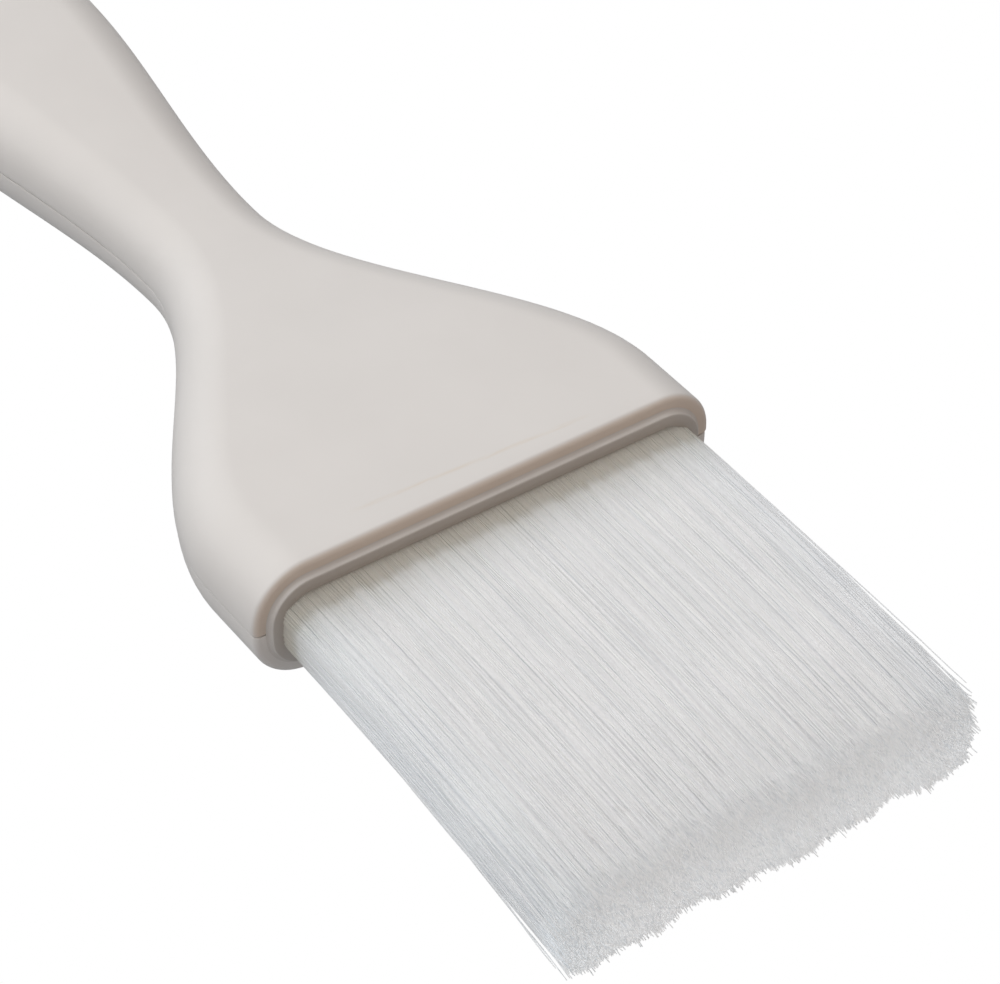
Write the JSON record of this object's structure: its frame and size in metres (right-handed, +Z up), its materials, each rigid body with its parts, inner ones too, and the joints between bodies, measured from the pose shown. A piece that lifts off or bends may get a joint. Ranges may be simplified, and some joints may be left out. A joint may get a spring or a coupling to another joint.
{
  "type": "pastry brush",
  "caption": "Flat pastry brush with a moulded plastic handle in two halves, a collar ring at the mouth and a springy pack of white nylon filaments.",
  "frame": {"origin": "on the surface that the brush lies on, under the middle of its length and width", "axes": "+X from the hanging hole towards the filament tips, +Z up out of the upper face, +Y across the head"},
  "size_m": [0.225, 0.056, 0.0142],
  "materials": {
    "handle_plastic": "satin moulded off-white plastic",
    "collar_plastic": "satin moulded off-white plastic",
    "resin": "cast amber resin",
    "filament_nylon": "fine white nylon filaments"
  },
  "bodies": {
    "handle": {"handle_upper_half": "handle_plastic", "handle_lower_half": "handle_plastic", "collar_ring": "collar_plastic", "resin_block": "resin"},
    "filament_roots": {"filament_root_half": "filament_nylon"},
    "filament_tips": {"filament_tip_half": "filament_nylon"}
  },
  "joints": [
    {"name": "root_flex", "type": "hinge", "parent": "handle", "child": "filament_roots", "pos_m": [0.0657, 0, 0.0071], "axis": [0, -1, 0], "range_deg": [-30, 30], "stiffness_Nm_per_rad": 0.12},
    {"name": "tip_flex", "type": "hinge", "parent": "filament_roots", "child": "filament_tips", "pos_m": [0.0885, 0, 0.00644], "axis": [0, -1, 0], "range_deg": [-35, 35], "stiffness_Nm_per_rad": 0.05}
  ]
}
